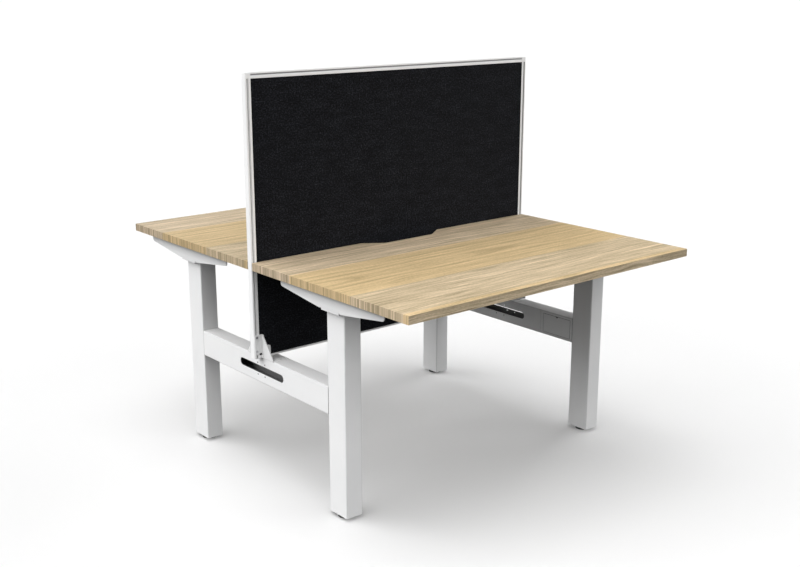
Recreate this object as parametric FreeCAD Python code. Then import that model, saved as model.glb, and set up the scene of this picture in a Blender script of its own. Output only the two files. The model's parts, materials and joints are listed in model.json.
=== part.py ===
import FreeCAD, Part
import math
import os

os.makedirs("parts", exist_ok=True)

# A back-to-back workstation: two sit-stand desks that share two end rails,
# with a fabric screen standing on the rails between them.
# Millimetres. The origin is on the floor under the middle of the screen,
# +Z is up, X runs along the desks, the front user sits at -Y and the rear one at +Y.

V = FreeCAD.Vector
ORIGIN = V(0, 0, 0)
X_AXIS = V(1, 0, 0)
Y_AXIS = V(0, 1, 0)
Z_AXIS = V(0, 0, 1)

# Clearances that many pieces share
overrun = 5.0
running_gap = 0.3
seat_gap = 0.3
shaft_clearance = 0.06
merge_distance = 0.001
sharp_join = 2
hexagon_sides = 6

# Desk tops
top_length = 1200.0
top_depth = 750.0
top_thickness = 25.0
top_height = 725.0
edging_thickness = 2.0
scallop_length = 340.0
scallop_floor_length = 210.0
scallop_depth = 47.0
scallop_mouth_radius = 12.0
scallop_floor_radius = 22.0
lift_travel = 480.0

# Screen and its aluminium frame
screen_overhang = 2.0
screen_top_height = 1310.0
screen_thickness = 22.0
top_to_screen_gap = 2.0
profile_face = 20.0
profile_outer_band = 6.0
profile_groove_width = 7.0
profile_groove_depth = 3.0
profile_edge_radius = 5.5
profile_channel_depth = 6.0
profile_chamber_width = 11.0
profile_wall = 1.6
corner_cap_radius = 3.0
corner_spigot_length = 24.0
bottom_bar_height = 5.0
bottom_tongue_height = 6.0
bottom_tongue_thickness = 4.0
core_board_thickness = 14.0
fabric_thickness = 2.0

# Lifting columns
column_width = 60.0
column_depth = 85.0
column_wall = 2.0
column_radius = 3.5
column_end_inset = 29.0
column_forward_offset = 15.5
guide_flange_height = 5.0
foot_height = 10.0
guide_wall = 1.7
guide_skirt_length = 60.0
inner_column_wall = 2.0
column_overlap = 110.0
inner_column_radius = 3.0
glide_length = 40.0
glide_lip = 3.0
glide_lip_ledge = 6.0
insert_length = 25.0

# Plate that joins an inner column to its side bracket
column_plate_depth = 110.0
column_plate_thickness = 4.0
column_plate_radius = 4.0
plate_bolt_radius = 3.0
plate_bolt_spacing = 60.0

# Side brackets under the tops
bracket_length = 496.0
bracket_width = 100.0
bracket_plate = 3.0
bracket_bend_radius = 5.0
bracket_end_depth = 18.5
bracket_apex_depth = 50.6
bracket_apex_radius = 580.0
bracket_end_radius = 12.0
bracket_tab_length = 84.0
bracket_tab_width = 18.0
bracket_tab_depth = 48.0
relief_notch_width = 5.0
relief_notch_height = 4.0

# Crossbars between the side brackets
crossbar_depth = 40.0
crossbar_height = 24.0
crossbar_wall = 2.5
crossbar_radius = 3.0
crossbar_spacing = 300.0
crossbar_flange_length = 76.0
crossbar_flange_thickness = 3.0
crossbar_bolt_radius = 3.0
crossbar_bolt_spacing = 58.0

# Spindle, nut and nut post
spindle_radius = 8.0
spindle_end_rise = 3.0
spindle_journal_radius = 6.0
spindle_journal_length = 20.0
spindle_shoulder_radius = 11.0
spindle_shoulder_length = 8.0
spindle_plate_clearance = 1.0
post_radius = 13.0
post_wall = 2.0
post_top_drop = 58.0
nut_flange_thickness = 6.0
nut_spigot_length = 20.0
nut_spigot_gap = 0.05

# Drive unit: a worm gearbox with its motor lying inboard
gearbox_width = 64.0
gearbox_front_reach = 38.0
gearbox_back_reach = 48.0
gearbox_radius = 6.0
motor_radius = 14.5
motor_length = 95.0
motor_cap_radius = 15.0
motor_cap_length = 14.0
motor_offset = 25.0
motor_hole_clearance = 1.5

# Control box under the top
control_box_length = 260.0
control_box_depth = 84.0
control_box_height = 28.0
control_box_radius = 6.0
control_box_offset = 150.0
control_ear_length = 16.0
control_ear_depth = 40.0
control_ear_thickness = 3.0
control_socket_width = 12.0
control_socket_height = 9.0
control_socket_depth = 9.0
control_socket_spacing = 22.0
control_socket_count = 3
control_inlet_width = 27.0
control_inlet_height = 19.0
control_inlet_depth = 16.0
control_inlet_place_share = 0.25

# Handset with a sprung paddle, under the user's right-hand side
handset_length = 110.0
handset_depth = 60.0
handset_height = 18.0
handset_front_height = 16.0
handset_corner_radius = 6.0
handset_setback = 60.0
handset_end_inset = 220.0
handset_slope_share = 0.25
handset_screw_reach_share = 0.25
handset_screw_depth_share = 0.75
paddle_radius = 6.5
paddle_length = 44.0
paddle_from_front = 11.0
paddle_end_gap = 0.4
paddle_lever_reach = 18.0
paddle_lever_thickness = 3.0
paddle_lever_inset = 3.0
paddle_pin_radius = 2.0
paddle_pin_length = 6.0
paddle_window_height = 11.0
paddle_tip_radius = 1.0

# End rails
rail_height = 90.0
rail_bottom_height = 320.0
rail_wall = 2.0
rail_radius = 4.0
rail_seam = 1.0
rail_slot_length = 250.0
rail_slot_height = 26.0
rail_hole_radius = 2.5
rail_hole_spacing = 40.0
rail_joint_line_inset = 151.0
rail_joint_line_width = 0.8

# Access openings and covers on the inboard faces of the rails
access_length = 130.0
access_height = 70.0
access_margin = 8.0
access_radius = 3.0
cover_gap = 0.6
cover_thickness = 2.0
cover_notch_radius = 6.0
cover_leg_length = 12.0
cover_leg_thickness = 2.0
cover_leg_reach = 9.0
cover_leg_spacing = 80.0

# Rail connectors, fixed on the columns inside the rail ends
connector_plate = 5.0
connector_flange = 4.0
connector_length = 60.0
stud_radius = 4.0
stud_length = 16.0
stud_spacing = 44.0
stud_nut_radius = 7.5
stud_nut_height = 6.5
rail_screw_radius = 3.0
rail_screw_length = 9.0
rail_screw_place_share = 0.65

# Screen brackets on the rails
screen_bracket_inset = 2.0
screen_bracket_plate = 3.0
screen_bracket_length = 58.0
screen_bracket_tall_length = 34.0
screen_bracket_height = 78.0
screen_bracket_step_height = 38.0
screen_bracket_corner_radius = 7.0
screen_bracket_inner_radius = 3.0
screen_bracket_foot_inset = 26.5
screen_bracket_foot_depth = 60.0
screen_bracket_foot_radius = 3.0
gusset_nose = 3.5
gusset_top_margin = 3.0
gusset_top_width = 4.0
bracket_hole_inset = 7.0
bracket_upper_hole_drop = 8.0
bracket_lower_hole_rise = 24.0
bracket_slot_width = 4.0
bracket_slot_height = 12.0
bracket_slot_rise = 1.5
bracket_slot_radius = 1.5
bracket_window_width = 10.0
bracket_window_height = 7.0
bracket_window_gusset_gap = 1.5
bracket_window_rise = 10.0
bracket_window_radius = 2.0
foot_screw_inset = 13.0
foot_screw_first = 18.0
foot_screw_spacing = 21.0

# Screws, by what they hold
bracket_screw_radius = 1.9
bracket_screw_head_radius = 4.0
bracket_screw_head_height = 1.6
bracket_screw_length = 9.0
wood_screw_radius = 2.5
wood_screw_head_radius = 5.0
wood_screw_head_height = 3.0
wood_screw_length = 18.0
wood_screw_end_inset = 30.0
wood_screw_width_share = 0.5
small_screw_length = 12.0
hex_across_corners_share = 1.8
hex_height_share = 1.3
screw_hole_clearance = 0.3

# Levelling feet
foot_disc_radius = 25.0
foot_disc_height = 8.0
foot_disc_bevel = 2.0
foot_neck_radius = 11.0
foot_stem_radius = 5.0
foot_stem_length = 38.0
foot_travel = 15.0

# Places worked out from the sizes above
top_back = screen_thickness / 2 + top_to_screen_gap
top_front = top_back + top_depth
top_underside = top_height - top_thickness
column_x = top_length / 2 - column_end_inset - column_width / 2
column_y = top_back + top_depth / 2 + column_forward_offset
column_bottom = foot_height
handset_x = top_length / 2 - handset_end_inset
inner_column_width = column_width - 2 * (column_wall + guide_wall + running_gap)
inner_column_depth = column_depth - 2 * (column_wall + guide_wall + running_gap)
column_plate_bottom = top_underside - bracket_tab_depth + bracket_plate
column_plate_top = column_plate_bottom + column_plate_thickness
outer_column_top = column_plate_bottom - guide_flange_height
inner_column_bottom = outer_column_top - column_overlap - lift_travel
post_top = outer_column_top - post_top_drop
spindle_bottom = post_top + spindle_end_rise - lift_travel
bracket_web_underside = top_underside - bracket_plate
screen_half = top_length / 2 + screen_overhang
screen_face = screen_thickness / 2
rail_top_height = rail_bottom_height + rail_height
rail_middle_height = rail_bottom_height + rail_height / 2
rail_width = column_width
column_inner_face_y = column_y - column_depth / 2
rail_half = column_inner_face_y - rail_seam
insert_top = column_bottom + insert_length
panel_half_thickness = core_board_thickness / 2 + fabric_thickness
panel_edge = profile_face - profile_channel_depth
panel_bottom = rail_top_height + bottom_bar_height


def box(low, high):
    """A box between two opposite corners."""
    size = [b - a for a, b in zip(low, high)]
    return Part.makeBox(size[0], size[1], size[2], V(*low))


def rod(radius, start, end):
    """A round rod between two points."""
    along = end - start
    return Part.makeCylinder(radius, along.Length, start, along)


def corner_arc(before, corner, after, radius):
    """The tangent arc that rounds one corner, no larger than its two sides allow."""
    to_before = before - corner
    to_after = after - corner
    half_angle = to_before.getAngle(to_after) / 2
    shorter = min(to_before.Length, to_after.Length)
    radius = min(radius, shorter / 2 * math.tan(half_angle))
    setback = radius / math.tan(half_angle)
    to_before.normalize()
    to_after.normalize()
    inward = to_before + to_after
    inward.normalize()
    start = corner + to_before * setback
    end = corner + to_after * setback
    middle = corner + inward * (radius / math.sin(half_angle) - radius)
    return start, middle, end


def rounded_wire(corners, radii):
    """A closed wire through the corners, each rounded by its own radius."""
    stretches = []
    for i, corner in enumerate(corners):
        if radii[i] > 0:
            following = corners[(i + 1) % len(corners)]
            stretches.append(corner_arc(corners[i - 1], corner, following, radii[i]))
        else:
            stretches.append((corner, None, corner))
    edges = []
    for i, (start, middle, end) in enumerate(stretches):
        last_end = stretches[i - 1][2]
        if last_end.distanceToPoint(start) > merge_distance:
            edges.append(Part.LineSegment(last_end, start).toShape())
        if middle is not None:
            edges.append(Part.Arc(start, middle, end).toShape())
    return Part.Wire(Part.__sortEdges__(edges))


def prism(corners, radii, along):
    """A solid pushed out from a rounded outline; one radius can serve every corner."""
    if not isinstance(radii, (list, tuple)):
        radii = [radii] * len(corners)
    return Part.Face(rounded_wire(corners, radii)).extrude(along)


def upright_block(x, y, width, depth, radius, bottom, top):
    """An upright block with rounded vertical edges, centred on x and y."""
    corners = [
        V(x - width / 2, y - depth / 2, bottom),
        V(x + width / 2, y - depth / 2, bottom),
        V(x + width / 2, y + depth / 2, bottom),
        V(x - width / 2, y + depth / 2, bottom),
    ]
    return prism(corners, radius, Z_AXIS * (top - bottom))


def upright_tube(x, y, width, depth, radius, wall, bottom, top):
    """An upright rectangular tube with rounded edges."""
    outer = upright_block(x, y, width, depth, radius, bottom, top)
    bore_radius = max(radius - wall, 0)
    bore = upright_block(
        x, y, width - 2 * wall, depth - 2 * wall, bore_radius, bottom - overrun, top + overrun
    )
    return outer.cut(bore)


def hexagon(radius, centre, along):
    """A hexagonal bolt head or nut with its flat face on centre."""
    side = along.cross(X_AXIS)
    if side.Length < merge_distance:
        side = along.cross(Y_AXIS)
    side.normalize()
    other = along.cross(side)
    other.normalize()
    corners = []
    for i in range(hexagon_sides):
        turn = 2 * math.pi * i / hexagon_sides
        corners.append(centre + side * (radius * math.cos(turn)) + other * (radius * math.sin(turn)))
    return prism(corners, 0, along)


def hex_bolt(radius, length, seat, inward):
    """A hex bolt: the head sits outside the seat, and the shank runs inward."""
    head = hexagon(radius * hex_across_corners_share, seat, inward * (-radius * hex_height_share))
    return head.fuse(rod(radius, seat, seat + inward * length))


def pan_screw(radius, head_radius, head_height, length, seat, inward):
    """A round-headed screw: the head sits outside the seat, and the shank runs inward."""
    head = rod(head_radius, seat - inward * head_height, seat)
    return head.fuse(rod(radius, seat, seat + inward * length))


def wood_screw(length, seat):
    """A wood screw driven up into the top."""
    return pan_screw(
        wood_screw_radius, wood_screw_head_radius, wood_screw_head_height, length, seat, Z_AXIS
    )


def to_right(shape):
    """The same piece on the other side of the desks' middle."""
    return shape.mirror(ORIGIN, X_AXIS)


def to_rear(shape):
    """The same piece on the other side of the screen."""
    return shape.mirror(ORIGIN, Y_AXIS)


def half_turn(shape):
    """The front desk's piece, turned to the rear desk."""
    turned = shape.copy()
    turned.rotate(ORIGIN, Z_AXIS, 180)
    return turned


def quarters(shape):
    """The front left piece and its three mirrored copies, by place."""
    return {
        "front_left": shape,
        "front_right": to_right(shape),
        "rear_left": to_rear(shape),
        "rear_right": to_rear(to_right(shape)),
    }


def all_quarters(shapes):
    """Every copy of a list of front left pieces, in one list."""
    copies = []
    for shape in shapes:
        copies.extend(quarters(shape).values())
    return copies


# Desk tops

def top_outline(inset):
    """The front top's outline, with the cable scallop in its back edge."""
    end = top_length / 2
    mouth = scallop_length / 2
    floor = scallop_floor_length / 2
    corners = [
        V(-end, -top_front, top_underside),
        V(end, -top_front, top_underside),
        V(end, -top_back, top_underside),
        V(mouth, -top_back, top_underside),
        V(floor, -top_back - scallop_depth, top_underside),
        V(-floor, -top_back - scallop_depth, top_underside),
        V(-mouth, -top_back, top_underside),
        V(-end, -top_back, top_underside),
    ]
    radii = [
        0,
        0,
        0,
        scallop_mouth_radius,
        scallop_floor_radius,
        scallop_floor_radius,
        scallop_mouth_radius,
        0,
    ]
    face = Part.Face(rounded_wire(corners, radii))
    if inset > 0:
        face = face.makeOffset2D(-inset, sharp_join)
    return face


def bracket_screw_places():
    """Where the wood screws of a front left side bracket stand, as x and y."""
    reach_x = bracket_width / 2 * wood_screw_width_share
    reach_y = bracket_length / 2 - wood_screw_end_inset
    places = []
    for dy in (-reach_y, reach_y):
        for dx in (-reach_x, reach_x):
            places.append((-column_x + dx, -column_y + dy))
    return places


def control_screw_places():
    """Where the control box's two ears are screwed to the top."""
    reach = control_box_length / 2 + control_ear_length / 2
    return [(-control_box_offset + reach * sign, -column_y) for sign in (-1, 1)]


def handset_screw_places():
    """Where the handset is screwed up through its back half."""
    reach = handset_length * handset_screw_reach_share
    y = -top_front + handset_setback + handset_depth * handset_screw_depth_share
    return [(handset_x + reach * sign, y) for sign in (-1, 1)]


def front_top():
    """The front desk top's board, inside its edging, with pilot holes for the screws."""
    board = top_outline(edging_thickness).extrude(Z_AXIS * top_thickness)
    pilots = []
    for x, y in bracket_screw_places():
        for px in (x, -x):
            pilots.append((px, y, wood_screw_length - bracket_plate))
    for x, y in control_screw_places():
        pilots.append((x, y, small_screw_length - control_ear_thickness))
    for x, y in handset_screw_places():
        pilots.append((x, y, small_screw_length - handset_screw_recess()))
    for x, y, depth in pilots:
        start = V(x, y, top_underside - overrun)
        board = board.cut(rod(wood_screw_radius, start, V(x, y, top_underside + depth)))
    return board


def front_top_edging():
    """The four edging strips round the front top."""
    ring = top_outline(0).cut(top_outline(edging_thickness)).extrude(Z_AXIS * top_thickness)
    inner_end = top_length / 2 - edging_thickness
    middle = box(
        (-inner_end, -top_front - overrun, top_underside - overrun),
        (inner_end, overrun - top_back, top_height + overrun),
    )
    return list(ring.common(middle).Solids) + list(ring.cut(middle).Solids)


# Side brackets

def bracket_side_outline(x):
    """The long outline of a side bracket, seen along X, at the front left column."""
    half = bracket_length / 2
    apex = top_underside - bracket_apex_depth
    end = top_underside - bracket_end_depth
    corners = [
        V(x, -column_y - half, top_underside),
        V(x, -column_y - half, end),
        V(x, -column_y, apex),
        V(x, -column_y + half, end),
        V(x, -column_y + half, top_underside),
    ]
    radii = [0, bracket_end_radius, bracket_apex_radius, bracket_end_radius, 0]
    return corners, radii


def channel_section(width, radius, top, y):
    """A closed section whose two upper corners are bent, seen along Y."""
    bottom = top_underside - bracket_apex_depth - overrun
    corners = [
        V(-column_x - width / 2, y, bottom),
        V(-column_x + width / 2, y, bottom),
        V(-column_x + width / 2, y, top),
        V(-column_x - width / 2, y, top),
    ]
    return corners, [0, 0, radius, radius]


def side_bracket():
    """A folded steel channel that carries the top on one column."""
    start = -column_y - bracket_length / 2 - overrun
    run = Y_AXIS * (bracket_length + 2 * overrun)
    corners, radii = channel_section(bracket_width, bracket_bend_radius, top_underside, start)
    channel = prism(corners, radii, run)
    inner_width = bracket_width - 2 * bracket_plate
    inner_radius = bracket_bend_radius - bracket_plate
    corners, radii = channel_section(inner_width, inner_radius, bracket_web_underside, start)
    channel = channel.cut(prism(corners, radii, run))
    left = -column_x - bracket_width / 2
    corners, radii = bracket_side_outline(left - overrun)
    bracket = channel.common(prism(corners, radii, X_AXIS * (bracket_width + 2 * overrun)))
    tab_bottom = top_underside - bracket_tab_depth
    wall_top = top_underside - bracket_end_depth
    for sign in (-1, 1):
        outer = -column_x + sign * bracket_width / 2
        inner = outer - sign * bracket_tab_width
        low_x = min(outer, inner)
        tab = box(
            (low_x, -column_y - bracket_tab_length / 2, tab_bottom),
            (low_x + bracket_tab_width, -column_y + bracket_tab_length / 2, column_plate_bottom),
        )
        wall_x = min(outer, outer - sign * bracket_plate)
        wall = box(
            (wall_x, -column_y - bracket_tab_length / 2, tab_bottom),
            (wall_x + bracket_plate, -column_y + bracket_tab_length / 2, wall_top),
        )
        bracket = bracket.fuse(tab).fuse(wall)
        for end in (-1, 1):
            edge = -column_y + end * bracket_tab_length / 2
            low_y = min(edge, edge + end * relief_notch_width)
            notch = box(
                (low_x - overrun, low_y, tab_bottom - overrun),
                (
                    low_x + bracket_tab_width + overrun,
                    low_y + relief_notch_width,
                    column_plate_bottom + relief_notch_height,
                ),
            )
            bracket = bracket.cut(notch)
    for x, y in bracket_screw_places():
        radius = wood_screw_radius + screw_hole_clearance
        bracket = bracket.cut(
            rod(radius, V(x, y, bracket_web_underside - overrun), V(x, y, top_underside + overrun))
        )
    for x, y in plate_bolt_places():
        radius = plate_bolt_radius + screw_hole_clearance
        bracket = bracket.cut(
            rod(radius, V(x, y, tab_bottom - overrun), V(x, y, column_plate_bottom + overrun))
        )
    inner_wall = -column_x + bracket_width / 2
    motor_z = motor_height()
    motor_y = -column_y + motor_offset
    hole_radius = motor_cap_radius + motor_hole_clearance
    before = inner_wall - bracket_plate - overrun
    after = inner_wall + overrun
    bracket = bracket.cut(rod(hole_radius, V(before, motor_y, motor_z), V(after, motor_y, motor_z)))
    for y, z in crossbar_bolt_places():
        radius = crossbar_bolt_radius + screw_hole_clearance
        bracket = bracket.cut(rod(radius, V(before, y, z), V(after, y, z)))
    return bracket


def plate_bolt_places():
    """The four bolts between a column plate and the bracket's tabs."""
    reach_x = bracket_width / 2 - bracket_tab_width / 2 - bracket_plate / 2
    places = []
    for dx in (-reach_x, reach_x):
        for dy in (-plate_bolt_spacing / 2, plate_bolt_spacing / 2):
            places.append((-column_x + dx, -column_y + dy))
    return places


# Crossbars

def crossbar_middle():
    """Height of the crossbars' centre line."""
    return top_underside - crossbar_height / 2


def crossbar_rows():
    """The two crossbars' places across the front desk."""
    return [-column_y + sign * crossbar_spacing / 2 for sign in (-1, 1)]


def crossbar_bolt_places():
    """Every crossbar bolt on a side bracket's inboard wall, as y and z."""
    places = []
    for row in crossbar_rows():
        for sign in (-1, 1):
            places.append((row + sign * crossbar_bolt_spacing / 2, crossbar_middle()))
    return places


def crossbars():
    """Two welded tubes with end flanges that tie the side brackets together."""
    reach = column_x - bracket_width / 2
    bars = []
    for row in crossbar_rows():
        corners = [
            V(-reach, row - crossbar_depth / 2, top_underside - crossbar_height),
            V(-reach, row + crossbar_depth / 2, top_underside - crossbar_height),
            V(-reach, row + crossbar_depth / 2, top_underside),
            V(-reach, row - crossbar_depth / 2, top_underside),
        ]
        bar = prism(corners, crossbar_radius, X_AXIS * (2 * reach))
        bore_reach = reach + overrun
        bore = [
            V(-bore_reach, row - crossbar_depth / 2 + crossbar_wall, corners[0].z + crossbar_wall),
            V(-bore_reach, row + crossbar_depth / 2 - crossbar_wall, corners[0].z + crossbar_wall),
            V(-bore_reach, row + crossbar_depth / 2 - crossbar_wall, corners[2].z - crossbar_wall),
            V(-bore_reach, row - crossbar_depth / 2 + crossbar_wall, corners[2].z - crossbar_wall),
        ]
        bore_radius = crossbar_radius - crossbar_wall
        bar = bar.cut(prism(bore, bore_radius, X_AXIS * (2 * bore_reach)))
        for sign in (-1, 1):
            outer = sign * reach
            inner = outer - sign * crossbar_flange_thickness
            flange = box(
                (min(outer, inner), row - crossbar_flange_length / 2, corners[0].z),
                (max(outer, inner), row + crossbar_flange_length / 2, top_underside),
            )
            bar = bar.fuse(flange)
            for end in (-1, 1):
                y = row + end * crossbar_bolt_spacing / 2
                hole = rod(
                    crossbar_bolt_radius + screw_hole_clearance,
                    V(outer - sign * overrun, y, crossbar_middle()),
                    V(outer + sign * overrun, y, crossbar_middle()),
                )
                bar = bar.cut(hole)
        bars.append(bar.removeSplitter())
    return bars


# Lifting columns

def outer_column():
    """The fixed outer tube of the front left column."""
    return upright_tube(
        -column_x,
        -column_y,
        column_width,
        column_depth,
        column_radius,
        column_wall,
        column_bottom,
        outer_column_top,
    )


def column_end_insert():
    """The insert in a column's foot that takes the levelling foot's stem."""
    plug = upright_block(
        -column_x,
        -column_y,
        column_width - 2 * column_wall,
        column_depth - 2 * column_wall,
        column_radius - column_wall,
        column_bottom,
        insert_top,
    )
    hole = rod(
        foot_stem_radius + shaft_clearance,
        V(-column_x, -column_y, column_bottom - overrun),
        V(-column_x, -column_y, insert_top + overrun),
    )
    return plug.cut(hole)


def upper_guide_sleeve():
    """The plastic sleeve at the outer tube's mouth that guides the inner tube."""
    top = column_plate_bottom - running_gap
    bore_gap = column_wall + guide_wall
    flange = upright_tube(
        -column_x,
        -column_y,
        column_width,
        column_depth,
        column_radius,
        bore_gap,
        outer_column_top,
        top,
    )
    skirt = upright_tube(
        -column_x,
        -column_y,
        column_width - 2 * column_wall,
        column_depth - 2 * column_wall,
        column_radius - column_wall,
        guide_wall,
        outer_column_top - guide_skirt_length,
        top,
    )
    return flange.fuse(skirt).removeSplitter()


def inner_column():
    """The lifting inner tube with the plate that bolts it to the side bracket."""
    tube = upright_tube(
        -column_x,
        -column_y,
        inner_column_width,
        inner_column_depth,
        inner_column_radius,
        inner_column_wall,
        inner_column_bottom,
        column_plate_bottom,
    )
    plate = upright_block(
        -column_x,
        -column_y,
        bracket_width - 2 * bracket_plate - 2 * seat_gap,
        column_plate_depth,
        column_plate_radius,
        column_plate_bottom,
        column_plate_top,
    )
    spindle_hole = rod(
        spindle_shoulder_radius + spindle_plate_clearance,
        V(-column_x, -column_y, column_plate_bottom - overrun),
        V(-column_x, -column_y, column_plate_top + overrun),
    )
    plate = plate.cut(spindle_hole)
    for x, y in plate_bolt_places():
        radius = plate_bolt_radius + screw_hole_clearance
        plate = plate.cut(
            rod(radius, V(x, y, column_plate_bottom - overrun), V(x, y, column_plate_top + overrun))
        )
    return tube.fuse(plate)


def lower_glide():
    """The plastic glide round the inner tube's lower end."""
    bottom = inner_column_bottom
    outer_width = column_width - 2 * column_wall - 2 * running_gap
    outer_depth = column_depth - 2 * column_wall - 2 * running_gap
    block = upright_block(
        -column_x,
        -column_y,
        outer_width,
        outer_depth,
        column_radius - column_wall,
        bottom - glide_lip,
        bottom + glide_length,
    )
    seat = upright_block(
        -column_x,
        -column_y,
        inner_column_width,
        inner_column_depth,
        inner_column_radius,
        bottom,
        bottom + glide_length + overrun,
    )
    mouth = upright_block(
        -column_x,
        -column_y,
        inner_column_width - 2 * glide_lip_ledge,
        inner_column_depth - 2 * glide_lip_ledge,
        inner_column_radius,
        bottom - glide_lip - overrun,
        bottom + overrun,
    )
    return block.cut(seat).cut(mouth)


# Spindle drive

def spindle_shoulder_top():
    """Height of the shoulder that runs under the gearbox."""
    return column_plate_top - running_gap


def spindle():
    """The lifting screw of the front left column, hanging from the gearbox."""
    shoulder_top = spindle_shoulder_top()
    shoulder_bottom = shoulder_top - spindle_shoulder_length
    x = -column_x
    y = -column_y
    screw = rod(spindle_radius, V(x, y, spindle_bottom), V(x, y, shoulder_bottom))
    shoulder = rod(spindle_shoulder_radius, V(x, y, shoulder_bottom), V(x, y, shoulder_top))
    journal_top = shoulder_top + spindle_journal_length
    journal = rod(spindle_journal_radius, V(x, y, shoulder_top), V(x, y, journal_top))
    return screw.fuse(shoulder).fuse(journal)


def spindle_nut_post():
    """A post on the column's insert, with the nut that the spindle runs in."""
    x = -column_x
    y = -column_y
    post = rod(post_radius, V(x, y, insert_top), V(x, y, post_top))
    bore_radius = post_radius - post_wall
    post = post.cut(
        rod(bore_radius, V(x, y, insert_top - overrun), V(x, y, post_top + overrun))
    )
    nut_top = post_top + nut_flange_thickness
    nut = rod(post_radius, V(x, y, post_top), V(x, y, nut_top))
    spigot_bottom = post_top - nut_spigot_length
    nut = nut.fuse(rod(bore_radius - nut_spigot_gap, V(x, y, spigot_bottom), V(x, y, nut_top)))
    thread = rod(
        spindle_radius + shaft_clearance,
        V(x, y, spigot_bottom - overrun),
        V(x, y, nut_top + overrun),
    )
    return [post, nut.cut(thread).removeSplitter()]


def motor_height():
    """Height of the motor's axis, at the middle of the gearbox."""
    return (column_plate_top + bracket_web_underside) / 2


def drive_unit():
    """The gearbox on the column plate, and the motor lying inboard of it."""
    middle_y = -column_y + (gearbox_back_reach - gearbox_front_reach) / 2
    gearbox = upright_block(
        -column_x,
        middle_y,
        gearbox_width,
        gearbox_front_reach + gearbox_back_reach,
        gearbox_radius,
        column_plate_top,
        bracket_web_underside - seat_gap,
    )
    journal_bore = rod(
        spindle_journal_radius + shaft_clearance,
        V(-column_x, -column_y, column_plate_top - overrun),
        V(-column_x, -column_y, spindle_shoulder_top() + spindle_journal_length + running_gap),
    )
    gearbox = gearbox.cut(journal_bore)
    start = -column_x + gearbox_width / 2
    y = -column_y + motor_offset
    z = motor_height()
    cap_start = start + motor_length
    motor = rod(motor_radius, V(start, y, z), V(cap_start, y, z))
    motor = motor.fuse(rod(motor_cap_radius, V(cap_start, y, z), V(cap_start + motor_cap_length, y, z)))
    return [gearbox, motor]


# Control box and handset

def control_box():
    """The front desk's control box, with its ears and its row of sockets."""
    x = -control_box_offset
    y = -column_y
    bottom = top_underside - control_box_height
    housing = upright_block(
        x, y, control_box_length, control_box_depth, control_box_radius, bottom, top_underside
    )
    ear_reach = control_box_length / 2 + control_ear_length
    ears = box(
        (x - ear_reach, y - control_ear_depth / 2, top_underside - control_ear_thickness),
        (x + ear_reach, y + control_ear_depth / 2, top_underside),
    )
    housing = housing.fuse(ears)
    back = y + control_box_depth / 2
    middle = top_underside - control_box_height / 2
    for i in range(control_socket_count):
        left = x + i * control_socket_spacing
        housing = housing.cut(
            box(
                (left, back - control_socket_depth, middle - control_socket_height / 2),
                (left + control_socket_width, back + overrun, middle + control_socket_height / 2),
            )
        )
    inlet_left = x - control_box_length * control_inlet_place_share - control_inlet_width / 2
    housing = housing.cut(
        box(
            (inlet_left, back - control_inlet_depth, middle - control_inlet_height / 2),
            (inlet_left + control_inlet_width, back + overrun, middle + control_inlet_height / 2),
        )
    )
    for sx, sy in control_screw_places():
        radius = wood_screw_radius + screw_hole_clearance
        housing = housing.cut(
            rod(
                radius,
                V(sx, sy, top_underside - control_ear_thickness - overrun),
                V(sx, sy, top_underside + overrun),
            )
        )
    return housing


def paddle_axis():
    """The y and z of the paddle's pivot."""
    y = -top_front + handset_setback + paddle_from_front
    return y, top_underside - handset_height / 2


def handset_screw_recess():
    """How deep the handset's screw heads sit from the top's underside."""
    return handset_height / 2


def handset():
    """The handset's housing: sloped below, open in front for the paddle."""
    front = -top_front + handset_setback
    back = front + handset_depth
    left = handset_x - handset_length / 2
    corners = [
        V(left, front, top_underside),
        V(left, front, top_underside - handset_front_height),
        V(left, front + handset_depth * handset_slope_share, top_underside - handset_height),
        V(left, back, top_underside - handset_height),
        V(left, back, top_underside),
    ]
    radii = [0, handset_corner_radius / 2, handset_corner_radius, handset_corner_radius / 2, 0]
    housing = prism(corners, radii, X_AXIS * handset_length)
    y, z = paddle_axis()
    half = paddle_length / 2 + paddle_end_gap
    bore = rod(
        paddle_radius + running_gap,
        V(handset_x - half, y, z),
        V(handset_x + half, y, z),
    )
    window = box(
        (handset_x - half, front - overrun, z - paddle_window_height / 2),
        (handset_x + half, y, z + paddle_window_height / 2),
    )
    pins = rod(
        paddle_pin_radius + shaft_clearance,
        V(handset_x - half - paddle_pin_length, y, z),
        V(handset_x + half + paddle_pin_length, y, z),
    )
    housing = housing.cut(bore).cut(window).cut(pins)
    seat = top_underside - handset_screw_recess()
    for sx, sy in handset_screw_places():
        radius = wood_screw_head_radius + screw_hole_clearance
        housing = housing.cut(
            rod(radius, V(sx, sy, top_underside - handset_height - overrun), V(sx, sy, seat))
        )
        shank = wood_screw_radius + screw_hole_clearance
        housing = housing.cut(rod(shank, V(sx, sy, seat - overrun), V(sx, sy, top_underside + overrun)))
    return housing


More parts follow.
